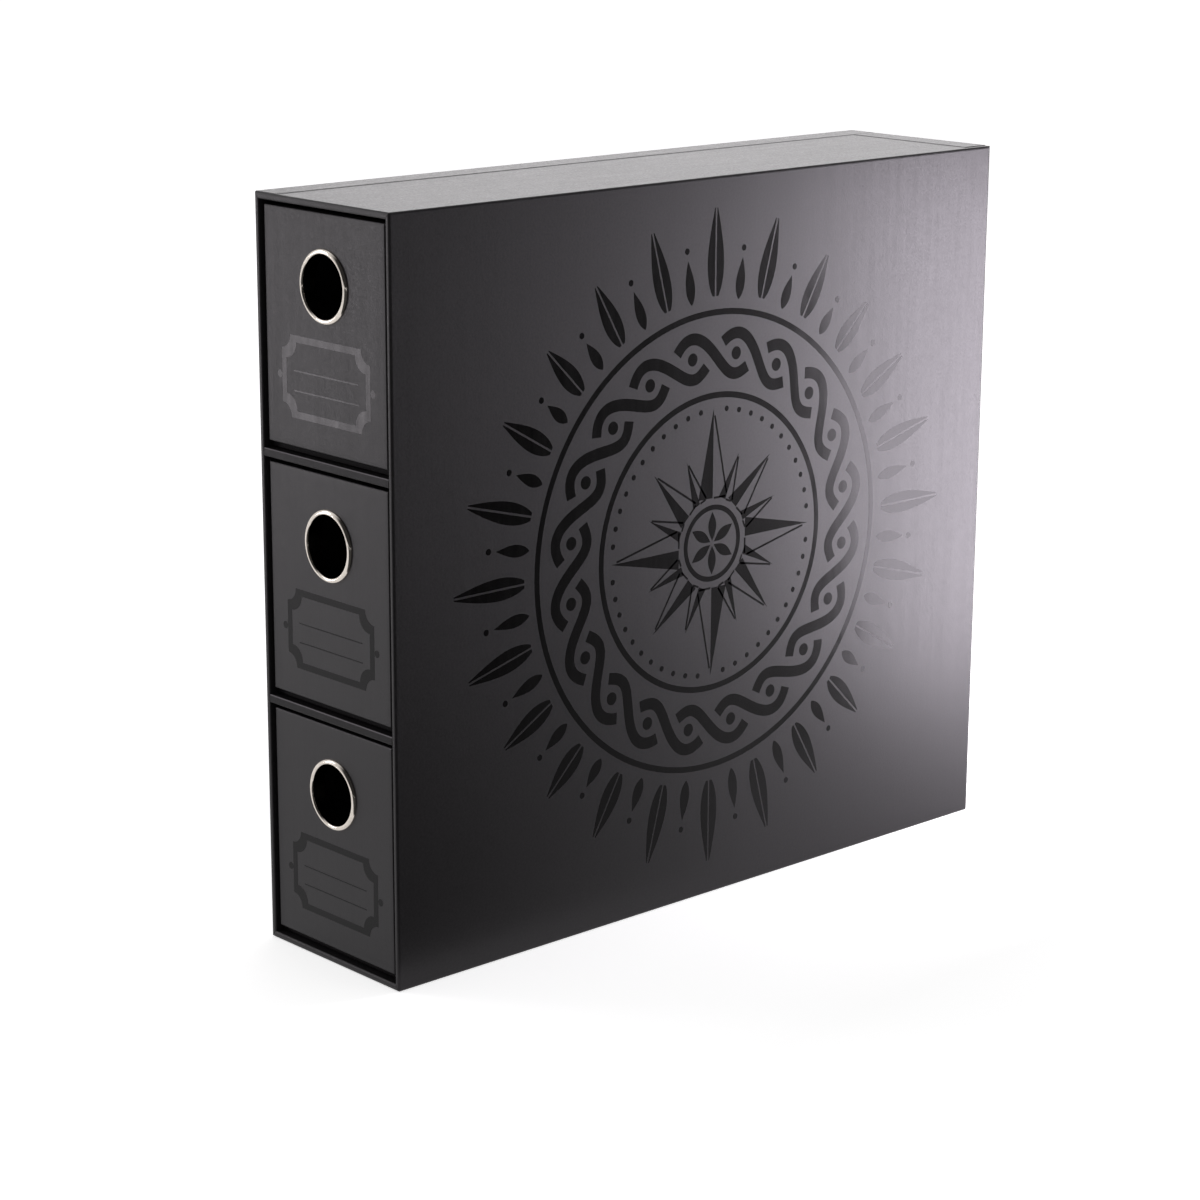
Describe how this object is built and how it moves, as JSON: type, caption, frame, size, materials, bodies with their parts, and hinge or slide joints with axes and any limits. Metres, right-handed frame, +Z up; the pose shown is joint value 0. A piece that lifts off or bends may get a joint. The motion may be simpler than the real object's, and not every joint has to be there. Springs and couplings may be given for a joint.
{
  "type": "trading card drawer box",
  "caption": "Tall narrow paper-covered board case that holds long card drawers one above another, each with a metal finger ring in its front.",
  "frame": {"origin": "middle of the base, at the face the box stands on", "axes": "+Z up, -Y out of the drawer fronts, the way the drawers pull out, +X to the right of someone who faces the drawers"},
  "size_m": [0.0844, 0.343, 0.312],
  "materials": {
    "cover_paper": "matte black printed paper with a fine tooth",
    "lining_paper": "matte black lining paper",
    "greyboard": "raw grey board",
    "nickel": "polished nickel plate"
  },
  "bodies": {
    "case": {"left_board": "greyboard", "right_board": "greyboard", "top_board": "greyboard", "bottom_board": "greyboard", "back_board": "greyboard", "upper_shelf_board": "greyboard", "lower_shelf_board": "greyboard", "upper_shelf_wrap": "cover_paper", "lower_shelf_wrap": "cover_paper", "cover_sheet": "cover_paper", "left_sheet": "cover_paper", "back_sheet": "cover_paper", "base_sheet": "cover_paper", "case_lining": "lining_paper"},
    "upper_drawer": {"upper_front_board": "greyboard", "upper_front_wrap": "cover_paper", "upper_tray_front_board": "greyboard", "upper_tray_left_board": "greyboard", "upper_tray_right_board": "greyboard", "upper_tray_rear_board": "greyboard", "upper_tray_floor_board": "greyboard", "upper_tray_wrap": "cover_paper", "upper_tray_liner": "lining_paper", "upper_finger_ring": "nickel", "upper_ring_washer": "nickel"},
    "middle_drawer": {"middle_front_board": "greyboard", "middle_front_wrap": "cover_paper", "middle_tray_front_board": "greyboard", "middle_tray_left_board": "greyboard", "middle_tray_right_board": "greyboard", "middle_tray_rear_board": "greyboard", "middle_tray_floor_board": "greyboard", "middle_tray_wrap": "cover_paper", "middle_tray_liner": "lining_paper", "middle_finger_ring": "nickel", "middle_ring_washer": "nickel"},
    "lower_drawer": {"lower_front_board": "greyboard", "lower_front_wrap": "cover_paper", "lower_tray_front_board": "greyboard", "lower_tray_left_board": "greyboard", "lower_tray_right_board": "greyboard", "lower_tray_rear_board": "greyboard", "lower_tray_floor_board": "greyboard", "lower_tray_wrap": "cover_paper", "lower_tray_liner": "lining_paper", "lower_finger_ring": "nickel", "lower_ring_washer": "nickel"}
  },
  "joints": [
    {"name": "upper_drawer_slide", "type": "slide", "parent": "case", "child": "upper_drawer", "axis": [0, -1, 0], "range_m": [0, 0.3]},
    {"name": "middle_drawer_slide", "type": "slide", "parent": "case", "child": "middle_drawer", "axis": [0, -1, 0], "range_m": [0, 0.3]},
    {"name": "lower_drawer_slide", "type": "slide", "parent": "case", "child": "lower_drawer", "axis": [0, -1, 0], "range_m": [0, 0.3]}
  ]
}
